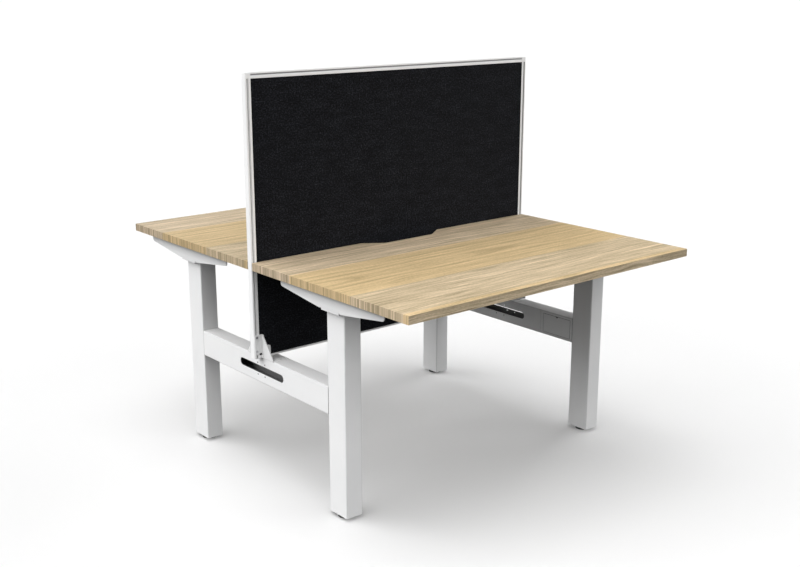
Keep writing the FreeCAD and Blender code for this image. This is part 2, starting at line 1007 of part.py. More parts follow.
def paddle():
    """The handset's paddle: a barrel on two pins, with a lever in front."""
    y, z = paddle_axis()
    half = paddle_length / 2
    barrel = rod(paddle_radius, V(handset_x - half, y, z), V(handset_x + half, y, z))
    pin_reach = half + paddle_pin_length
    pins = rod(paddle_pin_radius, V(handset_x - pin_reach, y, z), V(handset_x + pin_reach, y, z))
    lever_half = half - paddle_lever_inset
    corners = [
        V(handset_x - lever_half, y - paddle_lever_reach, z - paddle_lever_thickness / 2),
        V(handset_x - lever_half, y, z - paddle_lever_thickness / 2),
        V(handset_x - lever_half, y, z + paddle_lever_thickness / 2),
        V(handset_x - lever_half, y - paddle_lever_reach, z + paddle_lever_thickness / 2),
    ]
    radii = [paddle_tip_radius, 0, 0, paddle_tip_radius]
    lever = prism(corners, radii, X_AXIS * (2 * lever_half))
    return barrel.fuse(pins).fuse(lever)


# End rails

def stadium_cut(x_low, x_high, length, height, middle):
    """A round-ended slot along Y, cut through from one X to another."""
    corners = [
        V(x_low, -length / 2, middle - height / 2),
        V(x_low, length / 2, middle - height / 2),
        V(x_low, length / 2, middle + height / 2),
        V(x_low, -length / 2, middle + height / 2),
    ]
    return prism(corners, height / 2, X_AXIS * (x_high - x_low))


def access_span():
    """Where an access opening starts and ends along the rail, from the middle."""
    far = rail_half - access_margin
    return far - access_length, far


def left_end_rail():
    """The left rail: a hollow tube between the columns, slotted for cables."""
    left = -column_x - rail_width / 2
    right = -column_x + rail_width / 2
    corners = [
        V(left, -rail_half, rail_bottom_height),
        V(right, -rail_half, rail_bottom_height),
        V(right, -rail_half, rail_top_height),
        V(left, -rail_half, rail_top_height),
    ]
    rail = prism(corners, rail_radius, Y_AXIS * (2 * rail_half))
    bore_half = rail_half + overrun
    bore = [
        V(left + rail_wall, -bore_half, rail_bottom_height + rail_wall),
        V(right - rail_wall, -bore_half, rail_bottom_height + rail_wall),
        V(right - rail_wall, -bore_half, rail_top_height - rail_wall),
        V(left + rail_wall, -bore_half, rail_top_height - rail_wall),
    ]
    rail = rail.cut(prism(bore, rail_radius - rail_wall, Y_AXIS * (2 * bore_half)))
    before = left - overrun
    after = right + overrun
    rail = rail.cut(
        stadium_cut(before, after, rail_slot_length, rail_slot_height, rail_middle_height)
    )
    for y_sign in (-1, 1):
        for z_sign in (-1, 1):
            y = y_sign * rail_hole_spacing / 2
            z = rail_middle_height + z_sign * rail_hole_spacing / 2
            rail = rail.cut(rod(rail_hole_radius, V(before, y, z), V(after, y, z)))
    near, far = access_span()
    for sign in (-1, 1):
        low_y = min(sign * near, sign * far)
        opening = [
            V(right - rail_wall - overrun, low_y, rail_middle_height - access_height / 2),
            V(right - rail_wall - overrun, low_y + access_length, rail_middle_height - access_height / 2),
            V(right - rail_wall - overrun, low_y + access_length, rail_middle_height + access_height / 2),
            V(right - rail_wall - overrun, low_y, rail_middle_height + access_height / 2),
        ]
        rail = rail.cut(prism(opening, access_radius, X_AXIS * (rail_wall + 2 * overrun)))
        line = sign * (rail_half - rail_joint_line_inset)
        groove = box(
            (right - rail_joint_line_width, line - rail_joint_line_width / 2, rail_bottom_height - overrun),
            (right + overrun, line + rail_joint_line_width / 2, rail_top_height + overrun),
        )
        rail = rail.cut(groove)
        for x, y in rail_screw_places():
            hole = rod(
                rail_screw_radius + screw_hole_clearance,
                V(x, sign * y, rail_bottom_height - overrun),
                V(x, sign * y, rail_bottom_height + rail_wall + overrun),
            )
            rail = rail.cut(hole)
    for x, y in foot_screw_places():
        for sign in (-1, 1):
            hole = rod(
                bracket_screw_radius,
                V(x, sign * y, rail_top_height - rail_wall - overrun),
                V(x, sign * y, rail_top_height + overrun),
            )
            rail = rail.cut(hole)
    return rail


def rail_screw_places():
    """The screw that holds the front left rail end to its connector, as x and y."""
    y = -(column_inner_face_y - connector_length * rail_screw_place_share)
    return [(-column_x, y)]


def rail_connector():
    """A folded connector on the front left column, inside the rail's end."""
    half = rail_width / 2 - rail_wall - seat_gap
    bottom = rail_bottom_height + rail_wall + seat_gap
    top = rail_top_height - rail_wall - seat_gap
    face = -column_inner_face_y
    corners = [
        V(-column_x - half, face, bottom),
        V(-column_x + half, face, bottom),
        V(-column_x + half, face, top),
        V(-column_x - half, face, top),
    ]
    body = prism(corners, rail_radius - rail_wall, Y_AXIS * connector_length)
    pocket = box(
        (-column_x - half - overrun, face + connector_plate, bottom + connector_flange),
        (-column_x + half + overrun, face + connector_length + overrun, top - connector_flange),
    )
    body = body.cut(pocket)
    for z in stud_heights():
        radius = stud_radius + screw_hole_clearance
        body = body.cut(rod(radius, V(-column_x, face - overrun, z), V(-column_x, face + 2 * overrun, z)))
    for x, y in rail_screw_places():
        body = body.cut(
            rod(rail_screw_radius, V(x, y, bottom - overrun), V(x, y, bottom + 2 * overrun))
        )
    return body


def stud_heights():
    """Heights of the two studs that hold a rail connector."""
    return [rail_middle_height + sign * stud_spacing / 2 for sign in (-1, 1)]


def access_cover():
    """The front left access cover, on the rail's inboard face."""
    near, far = access_span()
    right = -column_x + rail_width / 2
    low_y = -far + cover_gap
    high_y = -near - cover_gap
    low_z = rail_middle_height - access_height / 2 + cover_gap
    high_z = rail_middle_height + access_height / 2 - cover_gap
    corners = [
        V(right - cover_thickness, low_y, low_z),
        V(right - cover_thickness, high_y, low_z),
        V(right - cover_thickness, high_y, high_z),
        V(right - cover_thickness, low_y, high_z),
    ]
    cover = prism(corners, access_radius - cover_gap, X_AXIS * cover_thickness)
    middle_y = (low_y + high_y) / 2
    notch = rod(
        cover_notch_radius,
        V(right - cover_thickness - overrun, middle_y, high_z),
        V(right + overrun, middle_y, high_z),
    )
    cover = cover.cut(notch)
    leg_back = right - cover_thickness - cover_leg_reach
    for y_sign in (-1, 1):
        leg_y = middle_y + y_sign * cover_leg_spacing / 2
        for z_sign in (-1, 1):
            outer = rail_middle_height + z_sign * (access_height / 2 - seat_gap)
            inner = outer - z_sign * cover_leg_thickness
            leg = box(
                (leg_back, leg_y - cover_leg_length / 2, min(outer, inner)),
                (right - cover_thickness / 2, leg_y + cover_leg_length / 2, max(outer, inner)),
            )
            cover = cover.fuse(leg)
    return cover


# Screen

def profile_outline(length_way, face_way, corner):
    """The frame profile's section: grooved faces, a chamber and the panel's channel."""
    half = screen_thickness / 2
    groove_floor = half - profile_groove_depth
    groove_end = profile_outer_band + profile_groove_width
    channel_floor = profile_face - profile_channel_depth
    channel_half = panel_half_thickness + seat_gap
    one_side = [
        (0, half),
        (profile_outer_band, half),
        (profile_outer_band, groove_floor),
        (groove_end, groove_floor),
        (groove_end, half),
        (profile_face, half),
        (profile_face, channel_half),
        (channel_floor, channel_half),
    ]
    points = one_side + [(a, -b) for a, b in reversed(one_side)]
    corners = [corner + face_way * a + Y_AXIS * b for a, b in points]
    radii = [0] * len(points)
    radii[0] = profile_edge_radius
    radii[-1] = profile_edge_radius
    section = prism(corners, radii, length_way)
    chamber_half = groove_floor - profile_wall
    chamber = [
        (profile_wall, chamber_half),
        (profile_wall + profile_chamber_width, chamber_half),
        (profile_wall + profile_chamber_width, -chamber_half),
        (profile_wall, -chamber_half),
    ]
    chamber_corners = [corner + face_way * a + Y_AXIS * b for a, b in chamber]
    return section.cut(prism(chamber_corners, 0, length_way))


def screen_left_profile():
    """The left upright of the screen frame."""
    height = screen_top_height - profile_face - rail_top_height
    upright = profile_outline(Z_AXIS * height, X_AXIS, V(-screen_half, 0, rail_top_height))
    for x, z in bracket_hole_places():
        before = V(x, -screen_face - overrun, z)
        after = V(x, screen_face + overrun, z)
        upright = upright.cut(rod(bracket_screw_radius, before, after))
    return upright


def screen_top_profile():
    """The top member of the screen frame, between the corner caps."""
    reach = screen_half - profile_face
    return profile_outline(X_AXIS * (2 * reach), -Z_AXIS, V(-reach, 0, screen_top_height))


def screen_bottom_profile():
    """The low bar under the panel, with a tongue in the panel's lower edge."""
    reach = screen_half - profile_face
    bar = box(
        (-reach, -screen_face, rail_top_height),
        (reach, screen_face, rail_top_height + bottom_bar_height),
    )
    tongue_half = bottom_tongue_thickness / 2
    tongue = box(
        (-reach, -tongue_half, rail_top_height),
        (reach, tongue_half, panel_bottom + bottom_tongue_height),
    )
    return bar.fuse(tongue).removeSplitter()


def rounded_bar(length_way, face_way, corner):
    """A solid bar of the frame's size, with the frame's two rounded outer edges."""
    half = screen_thickness / 2
    points = [(0, half), (profile_face, half), (profile_face, -half), (0, -half)]
    corners = [corner + face_way * a + Y_AXIS * b for a, b in points]
    return prism(corners, [profile_edge_radius, 0, 0, profile_edge_radius], length_way)


def corner_cap():
    """The top left corner cap, rounded like both profiles, with a spigot in each one's chamber."""
    corner = V(-screen_half, -screen_face, screen_top_height)
    along = X_AXIS * profile_face
    down = Z_AXIS * profile_face
    outline = [corner, corner + along, corner + along - down, corner - down]
    radii = [corner_cap_radius, 0, 0, 0]
    cap = prism(outline, radii, Y_AXIS * screen_thickness)
    outer_edge = V(-screen_half, 0, screen_top_height)
    cap = cap.common(rounded_bar(X_AXIS * profile_face, -Z_AXIS, outer_edge))
    cap = cap.common(rounded_bar(-Z_AXIS * profile_face, X_AXIS, outer_edge))
    spigot_half = screen_thickness / 2 - profile_groove_depth - profile_wall - seat_gap
    start = profile_wall + seat_gap
    end = profile_wall + profile_chamber_width - seat_gap
    upright = box(
        (-screen_half + start, -spigot_half, screen_top_height - profile_face - corner_spigot_length),
        (-screen_half + end, spigot_half, screen_top_height - profile_face),
    )
    level = box(
        (-screen_half + profile_face, -spigot_half, screen_top_height - end),
        (-screen_half + profile_face + corner_spigot_length, spigot_half, screen_top_height - start),
    )
    channel_half = panel_half_thickness + seat_gap
    channel = box(
        (-screen_half + panel_edge, -channel_half, screen_top_height - profile_face - overrun),
        (-screen_half + profile_face + overrun, channel_half, screen_top_height - panel_edge),
    )
    return cap.cut(channel).fuse(upright).fuse(level)


def screen_core_board():
    """The board that the fabric is stretched over."""
    half_length = screen_half - panel_edge - seat_gap
    half = core_board_thickness / 2
    board = box(
        (-half_length, -half, panel_bottom),
        (half_length, half, screen_top_height - panel_edge - seat_gap),
    )
    tongue_half = bottom_tongue_thickness / 2 + seat_gap
    slot = box(
        (-half_length - overrun, -tongue_half, panel_bottom - overrun),
        (half_length + overrun, tongue_half, panel_bottom + bottom_tongue_height + seat_gap),
    )
    return board.cut(slot)


def screen_fabric():
    """The fabric on the board's two faces."""
    half_length = screen_half - panel_edge - seat_gap
    inner = core_board_thickness / 2
    sheets = []
    for sign in (-1, 1):
        outer = inner + fabric_thickness
        sheets.append(
            box(
                (-half_length, min(sign * inner, sign * outer), panel_bottom),
                (half_length, max(sign * inner, sign * outer), screen_top_height - panel_edge - seat_gap),
            )
        )
    return sheets


# Screen brackets

def bracket_hole_places():
    """The two screw holes of the front left screen bracket, as x and z."""
    x = -screen_half + screen_bracket_inset + bracket_hole_inset
    upper = rail_top_height + screen_bracket_height - bracket_upper_hole_drop
    lower = rail_top_height + bracket_lower_hole_rise
    return [(x, upper), (x, lower)]


def foot_screw_places():
    """The two screws of the front left screen bracket's foot, as x and y."""
    left = -screen_half + screen_bracket_inset + screen_bracket_foot_inset
    x = left + foot_screw_inset
    first = -screen_face - foot_screw_first
    return [(x, first), (x, first - foot_screw_spacing)]


def screen_bracket():
    """The front left screen bracket: a stepped upright, a gusset and a foot."""
    left = -screen_half + screen_bracket_inset
    right = left + screen_bracket_length
    step = left + screen_bracket_tall_length
    back = -screen_face
    bottom = rail_top_height
    tall = bottom + screen_bracket_height
    low = bottom + screen_bracket_step_height
    corners = [
        V(left, back, bottom),
        V(right, back, bottom),
        V(right, back, low),
        V(step, back, low),
        V(step, back, tall),
        V(left, back, tall),
    ]
    big = screen_bracket_corner_radius
    radii = [0, 0, big, screen_bracket_inner_radius, big, 0]
    upright = prism(corners, radii, -Y_AXIS * screen_bracket_plate)
    foot_left = left + screen_bracket_foot_inset
    front = back - screen_bracket_foot_depth
    foot_corners = [
        V(foot_left, back, bottom),
        V(foot_left, front, bottom),
        V(right, front, bottom),
        V(right, back, bottom),
    ]
    foot_radii = [0, 0, screen_bracket_foot_radius, 0]
    foot = prism(foot_corners, foot_radii, Z_AXIS * screen_bracket_plate)
    gusset_corners = [
        V(foot_left, back, bottom),
        V(foot_left, back, tall - gusset_top_margin),
        V(foot_left, back - screen_bracket_plate - gusset_top_width, tall - gusset_top_margin),
        V(foot_left, front, bottom + screen_bracket_plate + gusset_nose),
        V(foot_left, front, bottom),
    ]
    gusset = prism(gusset_corners, [0, 0, 0, 0, 0], X_AXIS * screen_bracket_plate)
    bracket = upright.fuse(foot).fuse(gusset).removeSplitter()
    before = back - screen_bracket_plate - overrun
    after = back + overrun
    for x, z in bracket_hole_places():
        bracket = bracket.cut(rod(bracket_screw_radius, V(x, before, z), V(x, after, z)))
    x = left + bracket_hole_inset
    slot_corners = [
        V(x - bracket_slot_width / 2, before, bottom + bracket_slot_rise),
        V(x + bracket_slot_width / 2, before, bottom + bracket_slot_rise),
        V(x + bracket_slot_width / 2, before, bottom + bracket_slot_rise + bracket_slot_height),
        V(x - bracket_slot_width / 2, before, bottom + bracket_slot_rise + bracket_slot_height),
    ]
    along = Y_AXIS * (after - before)
    bracket = bracket.cut(prism(slot_corners, bracket_slot_radius, along))
    window_right = foot_left - bracket_window_gusset_gap
    window_left = window_right - bracket_window_width
    window_low = bottom + bracket_window_rise
    window_corners = [
        V(window_left, before, window_low),
        V(window_right, before, window_low),
        V(window_right, before, window_low + bracket_window_height),
        V(window_left, before, window_low + bracket_window_height),
    ]
    bracket = bracket.cut(prism(window_corners, bracket_window_radius, along))
    for x, y in foot_screw_places():
        hole = rod(
            bracket_screw_radius,
            V(x, y, bottom - overrun),
            V(x, y, bottom + screen_bracket_plate + overrun),
        )
        bracket = bracket.cut(hole)
    return bracket


# Levelling feet

def levelling_foot():
    """The front left foot: a bevelled disc, a neck and a stem, screwed right in."""
    x = -column_x
    y = -column_y
    disc = rod(foot_disc_radius, V(x, y, 0), V(x, y, foot_disc_height - foot_disc_bevel))
    bevel = Part.makeCone(
        foot_disc_radius,
        foot_disc_radius - foot_disc_bevel,
        foot_disc_bevel,
        V(x, y, foot_disc_height - foot_disc_bevel),
        Z_AXIS,
    )
    neck_top = column_bottom - seat_gap
    neck = rod(foot_neck_radius, V(x, y, 0), V(x, y, neck_top))
    stem = rod(foot_stem_radius, V(x, y, 0), V(x, y, foot_stem_length))
    return disc.fuse(bevel).fuse(neck).fuse(stem)


# Fasteners

def frame_fasteners():
    """Studs, nuts and screws of the base frame's front left quarter."""
    pieces = []
    face = -column_inner_face_y
    for z in stud_heights():
        start = V(-column_x, face, z)
        stud = rod(stud_radius, start, V(-column_x, face + stud_length, z))
        nut = hexagon(
            stud_nut_radius, V(-column_x, face + connector_plate, z), Y_AXIS * stud_nut_height
        )
        pieces.append(stud.fuse(nut))
    for x, y in rail_screw_places():
        head_radius = rail_screw_radius * hex_across_corners_share
        head_height = rail_screw_radius
        pieces.append(
            pan_screw(
                rail_screw_radius,
                head_radius,
                head_height,
                rail_screw_length,
                V(x, y, rail_bottom_height),
                Z_AXIS,
            )
        )
    for x, z in bracket_hole_places():
        pieces.append(
            pan_screw(
                bracket_screw_radius,
                bracket_screw_head_radius,
                bracket_screw_head_height,
                bracket_screw_length,
                V(x, -screen_face - screen_bracket_plate, z),
                Y_AXIS,
            )
        )
    for x, y in foot_screw_places():
        pieces.append(
            pan_screw(
                bracket_screw_radius,
                bracket_screw_head_radius,
                bracket_screw_head_height,
                bracket_screw_length,
                V(x, y, rail_top_height + screen_bracket_plate),
                -Z_AXIS,
            )
        )
    return pieces


def front_desk_fasteners():
    """Every screw and bolt of the front desk."""
    pieces = []
    left_pieces = []
    for x, y in bracket_screw_places():
        left_pieces.append(wood_screw(wood_screw_length, V(x, y, bracket_web_underside)))
    tab_bottom = top_underside - bracket_tab_depth
    bolt_length = column_plate_top - tab_bottom
    for x, y in plate_bolt_places():
        left_pieces.append(hex_bolt(plate_bolt_radius, bolt_length, V(x, y, tab_bottom), Z_AXIS))
    flange_face = -column_x + bracket_width / 2 + crossbar_flange_thickness
    through = bracket_plate + crossbar_flange_thickness
    for y, z in crossbar_bolt_places():
        left_pieces.append(hex_bolt(crossbar_bolt_radius, through, V(flange_face, y, z), -X_AXIS))
    for piece in left_pieces:
        pieces.append(piece)
        pieces.append(to_right(piece))
    for x, y in control_screw_places():
        seat = V(x, y, top_underside - control_ear_thickness)
        pieces.append(wood_screw(small_screw_length, seat))
    for x, y in handset_screw_places():
        seat = V(x, y, top_underside - handset_screw_recess())
        pieces.append(wood_screw(small_screw_length, seat))
    return pieces


def save(node, shapes):
    """Write one node's solids to its STEP file."""
    if not isinstance(shapes, (list, tuple)):
        shapes = [shapes]
    solids = []
    for shape in shapes:
        solids.extend(shape.Solids)
    for solid in solids:
        if not solid.isValid() or solid.Volume <= 0:
            print("bad solid in", node)
    shape = solids[0] if len(solids) == 1 else Part.makeCompound(solids)
    shape.exportStep("parts/" + node + ".step")


def save_base():
    """The fixed frame: columns, rails, screen and its brackets."""
    for place, shape in quarters(outer_column()).items():
        save(place + "_outer_column", shape)
    rail = left_end_rail()
    save("left_end_rail", rail)
    save("right_end_rail", to_right(rail))
    save("rail_connectors", all_quarters([rail_connector()]))
    save("frame_fasteners", all_quarters(frame_fasteners()))
    save("column_end_inserts", all_quarters([column_end_insert()]))
    save("upper_guide_sleeves", all_quarters([upper_guide_sleeve()]))
    save("spindle_nut_posts", all_quarters(spindle_nut_post()))
    upright = screen_left_profile()
    save("screen_left_profile", upright)
    save("screen_right_profile", to_right(upright))
    save("screen_top_profile", screen_top_profile())
    save("screen_bottom_profile", screen_bottom_profile())
    cap = corner_cap()
    save("screen_corner_caps", [cap, to_right(cap)])
    save("screen_core_board", screen_core_board())
    save("screen_fabric", screen_fabric())
    for place, shape in quarters(screen_bracket()).items():
        save(place + "_screen_bracket", shape)
    for place, shape in quarters(levelling_foot()).items():
        save(place + "_levelling_foot", shape)
    for place, shape in quarters(access_cover()).items():
        save(place + "_access_cover", shape)


def save_desks():
    """The two desks, each with everything that rises with it."""
    other = {"left": "right", "right": "left"}
    sided = {
        "side_bracket": side_bracket(),
        "inner_column": inner_column(),
        "spindle": spindle(),
    }
    for name, shape in sided.items():
        for side, piece in (("left", shape), ("right", to_right(shape))):
            save("front_" + side + "_" + name, piece)
            save("rear_" + other[side] + "_" + name, half_turn(piece))
    glide = lower_glide()
    drive = drive_unit()
    whole = {
        "top": [front_top()],
        "top_edging": front_top_edging(),
        "lower_glides": [glide, to_right(glide)],
        "crossbars": crossbars(),
        "drive_units": drive + [to_right(piece) for piece in drive],
        "control_box": [control_box()],
        "handset": [handset()],
        "paddle": [paddle()],
        "desk_fasteners": front_desk_fasteners(),
    }
    for name, shapes in whole.items():
        save("front_" + name, shapes)
        save("rear_" + name, [half_turn(shape) for shape in shapes])


save_base()
save_desks()
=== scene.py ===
"""Looks of the back-to-back workstation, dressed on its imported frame.

Metres. +X runs along the desks, +Y from the front desk to the rear desk, +Z up.
The floor is at z = 0 and the screen stands on the plane y = 0.
"""

import json
import math

import bmesh
import bpy
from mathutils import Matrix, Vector


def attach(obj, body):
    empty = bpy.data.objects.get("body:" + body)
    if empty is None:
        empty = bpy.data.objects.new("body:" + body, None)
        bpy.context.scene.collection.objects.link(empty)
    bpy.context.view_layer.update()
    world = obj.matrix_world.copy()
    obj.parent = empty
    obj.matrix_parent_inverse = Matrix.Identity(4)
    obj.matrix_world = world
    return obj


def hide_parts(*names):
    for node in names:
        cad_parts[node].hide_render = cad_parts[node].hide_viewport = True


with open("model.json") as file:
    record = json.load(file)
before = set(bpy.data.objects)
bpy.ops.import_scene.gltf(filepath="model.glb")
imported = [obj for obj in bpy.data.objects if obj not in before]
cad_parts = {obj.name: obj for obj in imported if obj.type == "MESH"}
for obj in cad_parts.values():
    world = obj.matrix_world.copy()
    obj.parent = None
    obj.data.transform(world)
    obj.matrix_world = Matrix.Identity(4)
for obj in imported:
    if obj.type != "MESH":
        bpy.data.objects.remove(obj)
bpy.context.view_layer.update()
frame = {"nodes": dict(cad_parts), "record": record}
nodes = frame["nodes"]


# Node helpers. Noise lies mostly inside NOISE_SPAN. NARROW_SPAN gives a pattern more contrast.
NOISE_MIDDLE = 0.5
NOISE_SPAN = (0.30, 0.70)
NARROW_SPAN = (0.35, 0.65)


def add(tree, kind, inputs=None, **settings):
    """A new shader node with its settings made and its inputs set to values or linked to sockets."""
    node = tree.nodes.new("ShaderNode" + kind)
    for key, value in settings.items():
        setattr(node, key, value)
    for key, value in (inputs or {}).items():
        if isinstance(value, bpy.types.NodeSocket):
            tree.links.new(value, node.inputs[key])
        else:
            node.inputs[key].default_value = value
    return node


def calc(tree, operation, a, b=0.0):
    """One sum on numbers or number sockets."""
    return add(tree, "Math", {0: a, 1: b}, operation=operation).outputs[0]


def times(tree, first, *others):
    """The product of the numbers. For masks, it is 1 where they are all 1."""
    for other in others:
        first = calc(tree, "MULTIPLY", first, other)
    return first


def plus(tree, first, *others):
    """The sum of the numbers."""
    for other in others:
        first = calc(tree, "ADD", first, other)
    return first


def minus(tree, a, b):
    """The first number less the second."""
    return calc(tree, "SUBTRACT", a, b)


def largest(tree, first, *others):
    """The largest of the numbers."""
    for other in others:
        first = calc(tree, "MAXIMUM", first, other)
    return first


def size(tree, value):
    """The number without its sign."""
    return calc(tree, "ABSOLUTE", value)


def within(tree, value, low, high):
    """1 where the value lies between low and high, and 0 elsewhere."""
    return times(tree, calc(tree, "GREATER_THAN", value, low), calc(tree, "LESS_THAN", value, high))


def spread(tree, value, low, high, to_low=0.0, to_high=1.0):
    """The value from low to high, stretched to the other range and held inside it."""
    values = {"Value": value, "From Min": low, "From Max": high, "To Min": to_low, "To Max": to_high}
    return add(tree, "MapRange", values, clamp=True).outputs[0]


def swing(tree, value, reach):
    """Noise, stretched to run from minus the reach to plus the reach."""
    return spread(tree, value, *NOISE_SPAN, -reach, reach)


def choose(tree, share, a, b):
    """The number a where the share is 0 and b where it is 1."""
    return add(tree, "Mix", {0: share, 2: a, 3: b}, data_type="FLOAT").outputs[0]


def blend(tree, share, a, b, how="MIX"):
    """Two colours mixed by a share from 0 to 1."""
    node = add(tree, "Mix", {0: share}, data_type="RGBA", blend_type=how)
    for socket, value in ((node.inputs[6], a), (node.inputs[7], b)):
        if isinstance(value, bpy.types.NodeSocket):
            tree.links.new(value, socket)
        else:
            socket.default_value = (*value, 1.0)
    return node.outputs[2]


def ramp(tree, value, *stops):
    """A colour that runs through the stops, each a place from 0 to 1 and a colour."""
    node = add(tree, "ValToRGB", {0: value})
    elements = node.color_ramp.elements
    while len(elements) < len(stops):
        elements.new(0.5)
    for element, (where, colour) in zip(elements, stops):
        element.position = where
        element.color = (*colour, 1.0)
    return node.outputs[0]


def place(tree):
    """The point on the object in metres, as it lies at rest in the shared frame."""
    return add(tree, "TexCoord").outputs["Object"]


def facing(tree):
    """The direction in which the surface faces."""
    return add(tree, "NewGeometry").outputs["Normal"]


def split(tree, vector):
    """The vector's x, y and z."""
    return add(tree, "SeparateXYZ", {0: vector}).outputs


def joined(tree, *numbers):
    """A vector made of its x and y, or of its x, y and z."""
    return add(tree, "CombineXYZ", dict(enumerate(numbers))).outputs[0]


def scaled(tree, vector, x, y, z):
    """A point whose coordinates are multiplied, so that a pattern is drawn out along an axis."""
    return add(tree, "VectorMath", {0: vector, 1: (x, y, z)}, operation="MULTIPLY").outputs[0]


def noise(tree, vector, scale=1.0, detail=2.0, rough=0.5):
    """Soft noise from 0 to 1."""
    values = {"Vector": vector, "Scale": scale, "Detail": detail, "Roughness": rough}
    return add(tree, "TexNoise", values).outputs[0]


def bump(tree, height, depth):
    """A normal for a surface whose height runs from 0 to 1, where 1 stands for that depth in metres."""
    return add(tree, "Bump", {"Height": height, "Distance": depth, "Strength": 1.0}).outputs[0]


def material(name, **values):
    """A new material, its tree and its Principled shader with these values set on its own sockets."""
    made = bpy.data.materials.new(name)
    made.use_nodes = True
    shader = made.node_tree.nodes["Principled BSDF"]
    for key, value in values.items():
        shader.inputs[key.replace("_", " ")].default_value = value
    return made, made.node_tree, shader


def feed(tree, shader, **sockets):
    """Links sockets to the shader's inputs, named with underscores for spaces."""
    for key, socket in sockets.items():
        tree.links.new(socket, shader.inputs[key.replace("_", " ")])


# Places where shade is painted on the white coats, as spans of x, y or z. x and y are taken without
# their sign.
# Each function below gives a mask from 0 to 1 of where the coat goes to its painted shade tone.
RAIL_INSIDE_X = (0.5125, 0.5695)
RAIL_INSIDE_Z = (0.3215, 0.4085)
RAIL_MIDDLE_Z = 0.365
HOLE_SPAN = (0.0170, 0.0230)
HOLE_DEPTH = (0.5111, 0.57095)
INBOARD_X = (0.5100, 0.5131)
ACCESS_Y = (0.2217, 0.3523)
ACCESS_Z = (0.3297, 0.4003)
JOINT_Y = (0.2084, 0.2096)
COVER_Y = (0.2233, 0.3507)
COVER_Z = (0.3313, 0.3987)
UNDER_TOP_Z = (0.668, 0.703)
WINDOW_X = (0.5745, 0.5855)
WINDOW_Z = (0.4195, 0.4275)
BRACKET_SLOT_X = (0.5925, 0.5975)
BRACKET_SLOT_Z = (0.4110, 0.4240)
BRACKET_DEPTH = (0.0112, 0.0138)
SCREEN_HALF = 0.602
SCREEN_TOP = 1.310
FRAME_FACE = 0.020
GROOVE_SPAN = (0.0058, 0.0110)
GROOVE_DEPTH = (0.0075, 0.0109)

# How far some of them go to the painted shade tone. UPWARD and SQUARE are spans of the normal's parts.
INSIDE_SHADE = 0.78
SEAM_SHADE = 0.45
LEFT_TOP_SHADE = 0.21
UNDER_TOP_SHADE = 0.74
UPWARD = (0.30, 0.90)
SQUARE = (0.94, 0.995)


def rail_painted_shade(tree, point):
    """Painted shade on the end rails' inner walls, holes, edges of openings and joints, and the left
    one's top.
    """
    x, y, z = split(tree, point)
    wide, length = size(tree, x), size(tree, y)
    inside = times(tree, within(tree, wide, *RAIL_INSIDE_X), within(tree, z, *RAIL_INSIDE_Z))
    rise = size(tree, minus(tree, z, RAIL_MIDDLE_Z))
    hole = times(tree, within(tree, length, *HOLE_SPAN), within(tree, rise, *HOLE_SPAN),
                 within(tree, wide, *HOLE_DEPTH))
    inboard = within(tree, wide, *INBOARD_X)
    opening = times(tree, within(tree, length, *ACCESS_Y), within(tree, z, *ACCESS_Z), inboard)
    joint = times(tree, within(tree, length, *JOINT_Y), inboard)
    # The left rail's top is painted darker than the right one's: painted shade
    upward = spread(tree, split(tree, facing(tree))[2], *UPWARD, 0.0, LEFT_TOP_SHADE)
    left_top = times(tree, upward, calc(tree, "LESS_THAN", x, 0.0))
    return largest(tree, times(tree, inside, INSIDE_SHADE), hole,
                   times(tree, largest(tree, opening, joint), SEAM_SHADE), left_top)


def under_top_painted_shade(tree, point):
    """Painted shade on the strip of the side brackets just under the tops, darker towards its upper
    edge.
    """
    return spread(tree, split(tree, point)[2], *UNDER_TOP_Z, 0.0, UNDER_TOP_SHADE)


def cover_rim_painted_shade(tree, point):
    """Painted shade on the outline of the access covers, inside the gap round them."""
    _, y, z = split(tree, point)
    face = times(tree, within(tree, size(tree, y), *COVER_Y), within(tree, z, *COVER_Z))
    return minus(tree, 1.0, face)


def bracket_openings(tree, wide, z):
    """The screen brackets' windows and slots, as they lie across the screen."""
    window = times(tree, within(tree, wide, *WINDOW_X), within(tree, z, *WINDOW_Z))
    slot = times(tree, within(tree, wide, *BRACKET_SLOT_X), within(tree, z, *BRACKET_SLOT_Z))
    return largest(tree, window, slot)


def bracket_cutout_painted_shade(tree, point):
    """Painted shade on the cut edges of the screen brackets' windows and slots."""
    x, y, z = split(tree, point)
    return times(tree, bracket_openings(tree, size(tree, x), z),
                 within(tree, size(tree, y), *BRACKET_DEPTH))


def frame_groove_painted_shade(tree, point):
    """Painted shade in the grooves of the screen frame and on what the brackets' windows and slots show
    of it.
    """
    x, y, z = split(tree, point)
    wide = size(tree, x)
    upright = times(tree, within(tree, minus(tree, SCREEN_HALF, wide), *GROOVE_SPAN),
                    calc(tree, "LESS_THAN", z, SCREEN_TOP - FRAME_FACE))
    level = times(tree, within(tree, minus(tree, SCREEN_TOP, z), *GROOVE_SPAN),
                  calc(tree, "LESS_THAN", wide, SCREEN_HALF - FRAME_FACE))
    groove = times(tree, largest(tree, upright, level), within(tree, size(tree, y), *GROOVE_DEPTH))
    return largest(tree, groove, bracket_openings(tree, wide, z))


def rounded_edge(tree):
    """From 0 on faces square to an axis to 1 on the bends and rounded edges between them."""
    normal = add(tree, "VectorMath", {0: facing(tree)}, operation="ABSOLUTE").outputs[0]
    x, y, z = split(tree, normal)
    return spread(tree, largest(tree, x, y, z), *SQUARE, 1.0, 0.0)


